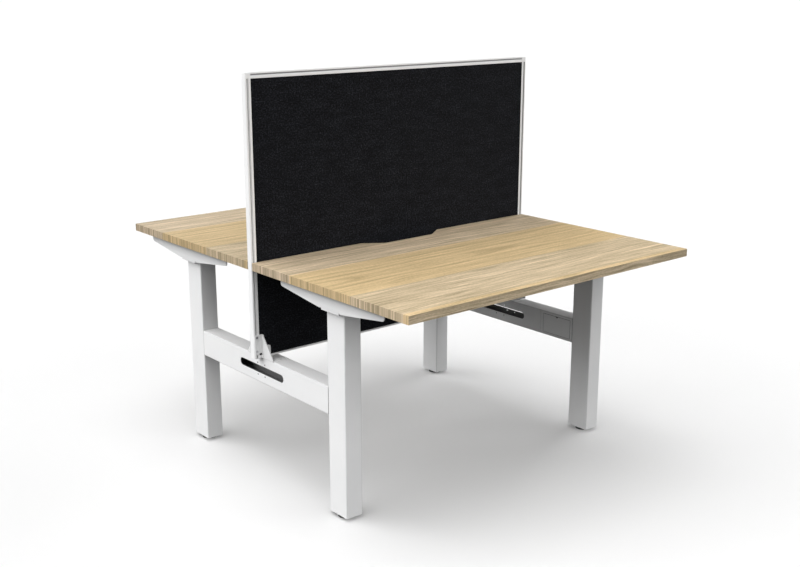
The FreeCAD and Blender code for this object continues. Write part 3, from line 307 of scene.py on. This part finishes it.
# Steel, plastic and board. Reliefs are in metres.
SPECKLE_REACH = 0.02
SCUFF_SPAN = (0.56, 0.72)
SCUFF_STRETCH = (14, 14, 3)
SCUFF_SHARE = 0.05
SCUFF_TONE = (0.55, 0.54, 0.52)
SCUFF_ROUGHER = 0.10
BEND_SHADE_TONE = (0.42, 0.42, 0.42)
UNEVEN_TONE = (0.965, 0.968, 0.972)
RUBBED_SPAN = (0.50, 0.72)
RUBBED_SHARE = 0.35
RUBBED_GAIN, RUBBED_LIFT = 1.9, 0.01
RUBBED_ROUGHNESS = (0.50, 0.38)
CLOUD_DARKER = 0.82
CLOUD_SMOOTHER, CLOUD_ROUGHER = 0.06, 0.08
LINE_REACH = 0.04
WORN_SPAN = (0.52, 0.75)
WORN_SHARE = 0.4
HOUSING_BLACK = (0.018, 0.018, 0.019)
HOUSING_GREY = (0.07, 0.068, 0.065)
HOUSING_ROUGHNESS = (0.40, 0.52)
CHIP_TONES = ((0.3, (0.36, 0.27, 0.17)), (0.7, (0.58, 0.46, 0.31)))
CHIP_STRETCH = (1, 1, 0.4)
CHIP_SHARE = 0.25
SPARK_RELIEF = 0.00003
DRAWN_RELIEF = 0.000008
CAST_RELIEF = 0.00005
CHIP_RELIEF = 0.0002


def powder_coat(name, tone, peel=0.00002, rough=0.50, bend_shade_share=0.38, shaded=None, shade_tone=0.05):
    """White powder coat on steel: fine orange peel, a slightly uneven tone and duller scuffs.

    Bends take painted shade by their share, and where the shaded mask is 1 the coat takes its painted
    shade tone.
    """
    made, tree, shader = material(name, Specular_IOR_Level=0.3)
    point = place(tree)
    drift = noise(tree, point, scale=6.0, detail=3.0)
    speckle = noise(tree, point, scale=900.0, detail=3.0, rough=0.6)
    orange_peel = noise(tree, point, scale=420.0)
    rubbed = noise(tree, scaled(tree, point, *SCUFF_STRETCH), scale=3.0, detail=6.0, rough=0.65)
    scuff = spread(tree, rubbed, *SCUFF_SPAN)
    darker = tuple(tone * share for share in UNEVEN_TONE)
    colour = blend(tree, spread(tree, drift, *NARROW_SPAN), darker, (tone, tone, tone))
    colour = blend(tree, times(tree, scuff, SCUFF_SHARE), colour, SCUFF_TONE)
    # Painted shade on bends and rounded edges, which dims their highlights
    colour = blend(tree, times(tree, rounded_edge(tree), bend_shade_share), colour, BEND_SHADE_TONE)
    # Painted shade where the shaded mask is 1
    if shaded is not None:
        colour = blend(tree, shaded(tree, point), colour, (shade_tone, shade_tone, shade_tone))
    roughness = plus(tree, swing(tree, speckle, SPECKLE_REACH), rough,
                     times(tree, scuff, SCUFF_ROUGHER))
    feed(tree, shader, Base_Color=colour, Roughness=roughness, Normal=bump(tree, orange_peel, peel))
    return made


def moulded_plastic(name, colour):
    """Moulded plastic with a fine spark texture and faint patches, rubbed paler and smoother."""
    made, tree, shader = material(name)
    point = place(tree)
    rubbed = spread(tree, noise(tree, point, scale=18.0, detail=5.0, rough=0.6), *RUBBED_SPAN)
    spark = noise(tree, point, scale=2200.0, rough=0.7)
    paler = tuple(c * RUBBED_GAIN + RUBBED_LIFT for c in colour)
    tone = blend(tree, times(tree, rubbed, RUBBED_SHARE), colour, paler)
    roughness = choose(tree, rubbed, *RUBBED_ROUGHNESS)
    feed(tree, shader, Base_Color=tone, Roughness=roughness, Normal=bump(tree, spark, SPARK_RELIEF))
    return made


def bare_metal(name, colour, rough, along=(1, 1, 1)):
    """Plated or bright steel with drawn lines and a cloudy plating."""
    made, tree, shader = material(name, Metallic=1.0)
    point = place(tree)
    lines = noise(tree, scaled(tree, point, *along), scale=1500.0, detail=3.0, rough=0.6)
    cloud = noise(tree, point, scale=60.0, detail=4.0, rough=0.6)
    darker = tuple(c * CLOUD_DARKER for c in colour)
    tone = blend(tree, spread(tree, cloud, *NARROW_SPAN), darker, colour)
    clouded = spread(tree, cloud, *NOISE_SPAN, rough - CLOUD_SMOOTHER, rough + CLOUD_ROUGHER)
    roughness = plus(tree, clouded, swing(tree, lines, LINE_REACH))
    feed(tree, shader, Base_Color=tone, Roughness=roughness, Normal=bump(tree, lines, DRAWN_RELIEF))
    return made


def painted_housing(name):
    """Black paint on the drives' cast and drawn housings, with patches worn to grey."""
    made, tree, shader = material(name)
    point = place(tree)
    cast = noise(tree, point, scale=700.0, detail=3.0, rough=0.6)
    worn = spread(tree, noise(tree, point, scale=25.0, detail=5.0, rough=0.65), *WORN_SPAN)
    tone = blend(tree, times(tree, worn, WORN_SHARE), HOUSING_BLACK, HOUSING_GREY)
    roughness = spread(tree, cast, *NOISE_SPAN, *HOUSING_ROUGHNESS)
    feed(tree, shader, Base_Color=tone, Roughness=roughness, Normal=bump(tree, cast, CAST_RELIEF))
    return made


def raw_board(name):
    """The screen's unfaced core board: pressed chips of wood."""
    made, tree, shader = material(name, Roughness=0.85)
    point = place(tree)
    cells = {"Vector": scaled(tree, point, *CHIP_STRETCH), "Scale": 350.0}
    chips = add(tree, "TexVoronoi", cells).outputs["Color"]
    tone = ramp(tree, noise(tree, point, scale=90.0, detail=3.0), *CHIP_TONES)
    tone = blend(tree, CHIP_SHARE, tone, chips, "SOFT_LIGHT")
    pressed = noise(tree, point, scale=500.0, detail=4.0)
    feed(tree, shader, Base_Color=tone, Normal=bump(tree, pressed, CHIP_RELIEF))
    return made


# Oak decor. Its planks run along X. Both tops carry the same ones, and distance is measured over
# them towards -Y, from the start of the grey plank.
GREY_OAK = (0.505, 0.402, 0.272)
YELLOW_OAK = (0.590, 0.440, 0.240)
PALE_OAK = (0.535, 0.426, 0.276)
PLANKS = (
    (0.000, GREY_OAK),
    (0.215, YELLOW_OAK),
    (0.511, PALE_OAK),
    (0.741, YELLOW_OAK),
)
PLANK_SEAM = 0.0006
PALE_PLANK_START = (0.505, 0.517)
LONG_EDGE_OAK = (0.480, 0.385, 0.252)
SHORT_EDGE_OAK = (0.91, 0.91, 0.93)
EDGE_FACING = 0.7
EDGE_OFFSET = 7.0
BLUE_POWER = 1.15
OAK_ROUGHNESS = (0.46, 0.58)
FIBRE_RELIEF = 0.00004

# Each desk: how far its decor is moved along Y and along X, and how light it is
DESKS = {
    "front": (0.0, 0.0, 0.99),
    "rear": (0.776, 0.37, 0.91),
}

# The grain's bends, and the row of eyes along the wide yellow plank
SWAY, SWAY_SCALE = 0.055, (2.1, 9, 1)
WOBBLE, WOBBLE_SCALE = 0.004, (9, 60, 1)
EYE_CENTRE = 0.366
EYE_LENGTH = 0.52
EYE_HALF_WIDTH = 0.026
EYE_PLACE = -0.10
EYE_BEND = 0.35
EYE_REACH = (0.075, 0.085)
EYE_OFFSET = 3.0
YELLOW_REACH = (0.14, 0.15)
RING_STEP, RING_JITTER = 0.038, 18.0
EYE_STEP, EYE_JITTER = 0.029, 4.0

# Layers of grain: seed, scale along the plank, scale over it, roughness
BROAD = (0.0, 0.9, 24.0, 0.55)
JITTER = (3.0, 0.5, 14.0, 0.55)
THIN = (9.0, 7.0, 120.0, 0.65)
FLECK = (11.0, 110.0, 190.0, 0.60)
FIBRE = (13.0, 22.0, 1100.0, 0.70)
HAIR = (15.0, 4.5, 155.0, 0.55)
PORES = (17.0, 60.0, 2600.0, 0.50)
STRIPE = (21.0, 2.0, 290.0, 0.80)
VEINS = (27.0, 1.3, 46.0, 0.45)

# What the layers add to the lightness. Pairs named _BY_PLANK hold the other planks' value and the
# wide yellow one's.
PALE_CREST = (0.35, 1.0)
DARK_CREST = (-0.35, -1.0)
RING_SEEN = (0.38, 0.58, 0.15, 1.0)
GREY_LINE = 0.30
PALE_LINE = 0.12
YELLOW_LINE_LOSS = 0.19
DARK_LINE_BY_PLANK = (0.05, 0.25)
HAIR_BY_PLANK = (0.33, 0.07)
VEIN_CREST = (0.012, 0.034)
VEIN_BY_PLANK = (0.26, 0.05)
LOSS_BY_PLANK = (0.04, 0.005)
THIN_REACH = 0.19
FLECK_REACH = 0.13
FIBRE_REACH = 0.10
PORE_SPAN = (0.62, 0.72)
PORE_LOSS = 0.12
STRIPE_REACH = (0.34, 0.66, -0.34, 0.30)


def grain(tree, along, across, seed, along_scale, across_scale, rough):
    """Noise drawn out along X. It follows the rings where across is the distance over them."""
    point = joined(tree, times(tree, along, along_scale), times(tree, across, across_scale), seed)
    return noise(tree, point, detail=3.0, rough=rough)


def centred(tree, value):
    """Noise less its middle value."""
    return minus(tree, value, NOISE_MIDDLE)


def grain_bend(tree, along, across):
    """How far the grain bends to the side on its way along a plank."""
    flat = joined(tree, along, across)
    sway = centred(tree, noise(tree, scaled(tree, flat, *SWAY_SCALE)))
    wobble = centred(tree, noise(tree, scaled(tree, flat, *WOBBLE_SCALE)))
    return plus(tree, times(tree, sway, SWAY), times(tree, wobble, WOBBLE))


def eye_rings(tree, along, across, bend):
    """The distance over the rings that close round the eyes, and a mask that is 1 near the eyes."""
    turn = times(tree, minus(tree, along, EYE_PLACE), math.tau / EYE_LENGTH)
    swell = plus(tree, calc(tree, "COSINE", turn), 1.0)
    offset = minus(tree, plus(tree, across, times(tree, bend, EYE_BEND)), EYE_CENTRE)
    squared = plus(tree, times(tree, offset, offset),
                   times(tree, minus(tree, 2.0, swell), 0.5 * EYE_HALF_WIDTH ** 2))
    near_eye = spread(tree, size(tree, offset), *EYE_REACH, 1.0, 0.0)
    return calc(tree, "SQRT", squared), near_eye


def growth_rings(tree, straight, eyed, near_eye, jitter):
    """From -1 to 1 and back over each growth ring."""
    uneven = centred(tree, jitter)
    phase = plus(tree, times(tree, straight, math.tau / RING_STEP), times(tree, uneven, RING_JITTER))
    eye_phase = plus(tree, times(tree, minus(tree, eyed, EYE_HALF_WIDTH), math.tau / EYE_STEP),
                     math.pi, times(tree, uneven, EYE_JITTER))
    return choose(tree, near_eye, calc(tree, "COSINE", phase), calc(tree, "COSINE", eye_phase))


def oak_lightness(tree, along, across, distance, start):
    """The start value with all layers of the grain laid on it, and the fibres by themselves."""
    bend = grain_bend(tree, along, across)
    straight = plus(tree, across, bend)
    eyed, near_eye = eye_rings(tree, along, across, bend)
    rings = choose(tree, near_eye, straight, plus(tree, eyed, EYE_OFFSET))
    yellow = spread(tree, size(tree, minus(tree, distance, EYE_CENTRE)), *YELLOW_REACH, 1.0, 0.0)

    # Growth rings: thin dark lines on the yellow plank and pale ones elsewhere, fading in and out
    ring = growth_rings(tree, straight, eyed, near_eye, grain(tree, along, rings, *JITTER))
    seen = spread(tree, grain(tree, along, rings, *BROAD), *RING_SEEN)
    pale_line = times(tree, spread(tree, ring, *PALE_CREST), seen)
    dark_line = times(tree, spread(tree, ring, *DARK_CREST), seen)
    pale_share = minus(tree, spread(tree, distance, *PALE_PLANK_START, GREY_LINE, PALE_LINE),
                       times(tree, yellow, YELLOW_LINE_LOSS))
    level = plus(tree, start, times(tree, pale_line, pale_share))
    level = minus(tree, level, times(tree, dark_line, choose(tree, yellow, *DARK_LINE_BY_PLANK)))

    # Streaks, flecks, hair-thin lines and pale veins
    streaks = swing(tree, grain(tree, along, rings, *THIN), THIN_REACH)
    flecks = swing(tree, grain(tree, along, straight, *FLECK), FLECK_REACH)
    hair = times(tree, swing(tree, grain(tree, along, rings, *HAIR), 1.0),
                 choose(tree, yellow, *HAIR_BY_PLANK))
    off_crest = size(tree, centred(tree, grain(tree, along, rings, *VEINS)))
    vein = times(tree, spread(tree, off_crest, *VEIN_CREST, 1.0, 0.0),
                 choose(tree, yellow, *VEIN_BY_PLANK))
    level = plus(tree, level, streaks, flecks, hair, vein)
    level = minus(tree, level, choose(tree, yellow, *LOSS_BY_PLANK))

    # Fibres and open pores
    fibre = grain(tree, along, straight, *FIBRE)
    pore = spread(tree, grain(tree, along, straight, *PORES), *PORE_SPAN)
    level = plus(tree, level, swing(tree, fibre, FIBRE_REACH))
    return minus(tree, level, times(tree, pore, PORE_LOSS)), fibre


def oak(name, y_shift, x_shift, start):
    """Oak decor on a top and its edging. On the edging, coarser stripes are laid over the grain."""
    made, tree, shader = material(name)
    x, y, z = split(tree, place(tree))
    normal_x, normal_y, _ = split(tree, facing(tree))
    long_edge = calc(tree, "GREATER_THAN", size(tree, normal_y), EDGE_FACING)
    short_edge = calc(tree, "GREATER_THAN", size(tree, normal_x), EDGE_FACING)
    along = plus(tree, x, x_shift)
    distance = minus(tree, y_shift, y)

    # On the long edges the grain is read down z, and elsewhere over y
    across = choose(tree, long_edge, distance, plus(tree, z, EDGE_OFFSET))
    level, fibre = oak_lightness(tree, along, across, distance, start)
    stripe = spread(tree, grain(tree, along, across, *STRIPE), *STRIPE_REACH)
    level = plus(tree, level, times(tree, largest(tree, long_edge, short_edge), stripe))

    tone = PLANKS[0][1]
    for plank_start, plank in PLANKS[1:]:
        share = spread(tree, distance, plank_start - PLANK_SEAM, plank_start + PLANK_SEAM)
        tone = blend(tree, share, tone, plank)
    tone = blend(tree, long_edge, tone, LONG_EDGE_OAK)
    tone = blend(tree, short_edge, tone, SHORT_EDGE_OAK, "MULTIPLY")
    warm = joined(tree, level, level, calc(tree, "POWER", level, BLUE_POWER))
    tone = blend(tree, 1.0, tone, warm, "MULTIPLY")
    feed(tree, shader, Base_Color=tone, Roughness=spread(tree, fibre, *NOISE_SPAN, *OAK_ROUGHNESS),
         Normal=bump(tree, fibre, FIBRE_RELIEF))
    return made


# Screen fabric
THREAD_PITCH = 0.0022
WEAVE_RELIEF = 0.0004
WEAVE_SHARE = 0.22
THREAD_GAP = (0.002, 0.002, 0.0025)
MOTTLE_SHARE, MOTTLE_STRETCH = 0.75, (1, 0, 1.3)
HEATHER_SHARE, HEATHER_STRETCH = 0.25, (1.6, 0, 0.8)
CLOUDY_SHARE, CLOUDY_STRETCH = 0.13, (0.5, 0, 1.6)
FIBRE_SPAN = (0.40, 0.62)
FABRIC_TONES = (
    (0.0, (0.0001, 0.0002, 0.0006)),
    (0.5, (0.0048, 0.0055, 0.0078)),
    (1.0, (0.0330, 0.0355, 0.0445)),
)


def woven_fabric(name):
    """Near-black woven wool: a plain weave, heathered by paler and bluer fibres."""
    made, tree, shader = material(name, Roughness=0.95, Sheen_Weight=0.05, Sheen_Roughness=0.5,
                                  Specular_IOR_Level=0.12)
    point = place(tree)
    x, _, z = split(tree, point)
    warp = calc(tree, "SINE", times(tree, x, math.tau / THREAD_PITCH))
    weft = calc(tree, "SINE", times(tree, z, math.tau / THREAD_PITCH))
    weave = spread(tree, times(tree, warp, weft), -1.0, 1.0)
    mottle = noise(tree, scaled(tree, point, *MOTTLE_STRETCH), scale=170.0, detail=4.0, rough=0.75)
    heather = noise(tree, scaled(tree, point, *HEATHER_STRETCH), scale=420.0, detail=3.0, rough=0.7)
    cloudy = noise(tree, scaled(tree, point, *CLOUDY_STRETCH), scale=26.0, detail=3.0, rough=0.6)
    fibres = plus(tree, times(tree, mottle, MOTTLE_SHARE), times(tree, heather, HEATHER_SHARE),
                  times(tree, centred(tree, cloudy), CLOUDY_SHARE))
    tone = ramp(tree, spread(tree, fibres, *FIBRE_SPAN), *FABRIC_TONES)
    tone = blend(tree, times(tree, weave, WEAVE_SHARE), tone, THREAD_GAP)
    relief = plus(tree, times(tree, weave, 0.5), times(tree, heather, 0.5))
    feed(tree, shader, Base_Color=tone, Normal=bump(tree, relief, WEAVE_RELIEF))
    return made


# Materials: by slot, for the oak also by desk, and for some pieces by the end of the node's name
WHITE = 0.89
# The brackets' whites are darker copies of WHITE, painted shade; the frame's is lighter, painted light
BRACKET_SHADED_WHITE = 0.77
SCREEN_BRACKET_SHADED_WHITE = 0.82
FRAME_LIT_WHITE = 0.96
SLOT_FINISHES = {
    "white_steel": powder_coat("white_steel", WHITE),
    "screen_frame": powder_coat("screen_frame", FRAME_LIT_WHITE, peel=0.000012, rough=0.36,
                                bend_shade_share=0.04, shaded=frame_groove_painted_shade, shade_tone=0.36),
    "screen_fabric": woven_fabric("screen_fabric"),
    "core_board": raw_board("core_board"),
    "black_plastic": moulded_plastic("black_plastic", (0.012, 0.012, 0.013)),
    "grey_plastic": moulded_plastic("grey_plastic", (0.10, 0.10, 0.11)),
    "black_metal": painted_housing("black_metal"),
    "zinc_steel": bare_metal("zinc_steel", (0.62, 0.62, 0.64), rough=0.38),
    "bare_steel": bare_metal("bare_steel", (0.58, 0.58, 0.60), rough=0.30, along=(1, 1, 0.1)),
}
OAK_FINISHES = {
    slot: {desk: oak(f"{slot}_{desk}", *values) for desk, values in DESKS.items()}
    for slot in ("oak_board", "oak_edging")
}
# Rails, side brackets, covers and screen brackets get painted shade from their masks
NODE_FINISHES = {
    "end_rail": powder_coat("rail_steel", WHITE, shaded=rail_painted_shade, shade_tone=0.03),
    "side_bracket": powder_coat("bracket_steel", BRACKET_SHADED_WHITE, shaded=under_top_painted_shade, shade_tone=0.30),
    "access_cover": powder_coat("cover_steel", WHITE, shaded=cover_rim_painted_shade, shade_tone=0.28),
    "screen_bracket": powder_coat("screen_bracket_steel", SCREEN_BRACKET_SHADED_WHITE,
                                  shaded=bracket_cutout_painted_shade, shade_tone=0.03),
}


def finish_for(row):
    """The material of one node of the frame."""
    node, slot = row["node"], row["material_slot"]
    if slot in OAK_FINISHES:
        return OAK_FINISHES[slot]["rear" if node.startswith("rear") else "front"]
    for ending, finish in NODE_FINISHES.items():
        if node.endswith(ending):
            return finish
    return SLOT_FINISHES[slot]


def wear(obj, finish):
    """Gives the object one material."""
    obj.data.materials.clear()
    obj.data.materials.append(finish)


for row in frame["record"]["subparts"]:
    wear(nodes[row["node"]], finish_for(row))


# One cloth is stretched over each face of the core board and tucked under the profiles' lips
CLOTH_WIDTH = 1.1754
CLOTH_HEIGHT = 0.8807
CLOTH_BOTTOM = 0.4150
CLOTH_FACE = 0.0089
CLOTH_THICKNESS = 0.0012
CLOTH_STEP = 0.010
CLOTH_WAVE = 0.00015
BROAD_WAVE = (17, 11)
FINE_WAVE = (41, 23)


def cloth_wave(x, z, side):
    """The slight waviness of cloth on a board: broad crossed waves and finer slanting ones."""
    broad = math.sin(x * BROAD_WAVE[0] + side) * math.sin(z * BROAD_WAVE[1] + 2 * side)
    return broad + 0.5 * math.sin(x * FINE_WAVE[0] + z * FINE_WAVE[1])


def screen_cloth(name, side):
    """A thin closed sheet on the screen's front face, with side -1, or on its rear one, with 1."""
    columns = round(CLOTH_WIDTH / CLOTH_STEP)
    rows = round(CLOTH_HEIGHT / CLOTH_STEP)
    mesh = bmesh.new()
    grid = []
    for row in range(rows + 1):
        z = CLOTH_BOTTOM + CLOTH_HEIGHT * row / rows
        line = []
        for column in range(columns + 1):
            x = CLOTH_WIDTH * (column / columns - 0.5)
            y = side * (CLOTH_FACE + CLOTH_WAVE * cloth_wave(x, z, side))
            line.append(mesh.verts.new((x, y, z)))
        grid.append(line)
    for lower, upper in zip(grid, grid[1:]):
        for column in range(columns):
            corners = [lower[column], lower[column + 1], upper[column + 1], upper[column]]
            if side > 0:
                corners.reverse()
            mesh.faces.new(corners)
    data = bpy.data.meshes.new(name)
    mesh.to_mesh(data)
    mesh.free()
    for face in data.polygons:
        face.use_smooth = True
    cloth = bpy.data.objects.new(name, data)
    bpy.context.scene.collection.objects.link(cloth)
    thick = cloth.modifiers.new("thickness", "SOLIDIFY")
    thick.thickness = CLOTH_THICKNESS
    thick.offset = -1.0
    wear(cloth, SLOT_FINISHES["screen_fabric"])
    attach(cloth, "base")
    return cloth


cloths = [screen_cloth("front_screen_cloth", -1), screen_cloth("rear_screen_cloth", 1)]
for cloth in cloths:
    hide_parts("screen_fabric")


# Camera at the photograph's angle
CAMERA_PLACE = (-2.4024, -2.8760, 1.5578)
CAMERA_YAW = math.radians(-40.0)
CAMERA_PITCH = math.radians(-15.0)
CAMERA_LENS = 50.0
CAMERA_SENSOR = 36.0
CAMERA_CLIP = 1000.0


def make_camera():
    """The scene's camera, level from side to side."""
    camera = bpy.data.objects.new("camera", bpy.data.cameras.new("camera"))
    bpy.context.scene.collection.objects.link(camera)
    camera.data.sensor_width = CAMERA_SENSOR
    camera.data.lens = CAMERA_LENS
    camera.data.clip_end = CAMERA_CLIP
    camera.location = CAMERA_PLACE
    camera.rotation_euler = (math.pi / 2 + CAMERA_PITCH, 0.0, CAMERA_YAW)
    bpy.context.scene.camera = camera


make_camera()


# Floor and studio light
FLOOR_REACH = 200.0
FLOOR_TONES = (0.90, 0.92)
FLOOR_BOUNCE = 0.10
SKY_SEEN = 1.0
LAMP_WIDTH = math.radians(45.0)

# Each lamp: its azimuth from +X and its height in degrees, its power on the object and on the floor
LAMPS = (
    (0, 12, 1.25, 1.72),
    (90, 35, 1.25, 0.00),
    (90, 60, 0.00, 0.30),
    (135, 12, 0.00, 1.05),
    (135, 35, 0.75, 0.30),
    (135, 60, 0.97, 0.45),
    (180, 12, 0.55, 1.62),
    (180, 35, 1.80, 0.00),
    (225, 12, 0.00, 0.92),
    (225, 60, 0.00, 0.30),
    (270, 12, 0.70, 0.93),
    (270, 35, 0.61, 0.00),
    (270, 60, 0.72, 0.00),
    (315, 12, 0.31, 1.42),
    (0, 90, 0.00, 0.92),
)


def make_floor():
    """A pale floor that throws little light back up at the object."""
    data = bpy.data.meshes.new("floor")
    r = FLOOR_REACH
    data.from_pydata([(-r, -r, 0), (r, -r, 0), (r, r, 0), (-r, r, 0)], [], [(0, 1, 2, 3)])
    floor = bpy.data.objects.new("floor", data)
    bpy.context.scene.collection.objects.link(floor)
    made, tree, shader = material("studio_floor", Roughness=0.9, Specular_IOR_Level=0.1)
    darker, paler = ((tone, tone, tone) for tone in FLOOR_TONES)
    tone = blend(tree, noise(tree, place(tree), scale=0.8), darker, paler)
    bounced = blend(tree, 1.0 - FLOOR_BOUNCE, tone, (0.0, 0.0, 0.0))
    seen = add(tree, "LightPath").outputs["Is Camera Ray"]
    feed(tree, shader, Base_Color=blend(tree, seen, bounced, tone))
    wear(floor, made)
    return floor


def link_only(floor, state):
    """A group for light linking that lights only the floor, or everything but the floor."""
    group = bpy.data.collections.new("floor_" + state.lower())
    group.objects.link(floor)
    group.collection_objects[0].light_linking.link_state = state
    return group


def make_light(floor):
    """Wide soft lamps all round. Each lights the object, the floor, or both, as its powers say."""
    groups = (link_only(floor, "EXCLUDE"), link_only(floor, "INCLUDE"))
    for azimuth, height, *powers in LAMPS:
        turn, rise = math.radians(azimuth), math.radians(height)
        shines_from = Vector((math.cos(turn) * math.cos(rise), math.sin(turn) * math.cos(rise),
                              math.sin(rise)))
        for power, group in zip(powers, groups):
            if power:
                name = f"lamp_{azimuth}_{height}_{group.name}"
                lamp = bpy.data.objects.new(name, bpy.data.lights.new(name, "SUN"))
                bpy.context.scene.collection.objects.link(lamp)
                lamp.data.energy = power
                lamp.data.angle = LAMP_WIDTH
                lamp.rotation_euler = shines_from.to_track_quat("Z", "Y").to_euler()
                lamp.light_linking.receiver_collection = group


def make_sky():
    """A white background that is seen and gives no light."""
    world = bpy.data.worlds.new("studio")
    world.use_nodes = True
    bpy.context.scene.world = world
    tree = world.node_tree
    background = tree.nodes["Background"]
    background.inputs["Color"].default_value = (1.0, 1.0, 1.0, 1.0)
    seen = add(tree, "LightPath").outputs["Is Camera Ray"]
    tree.links.new(choose(tree, seen, 0.0, SKY_SEEN), background.inputs["Strength"])


make_light(make_floor())
make_sky()
bpy.context.scene.view_settings.view_transform = "Standard"
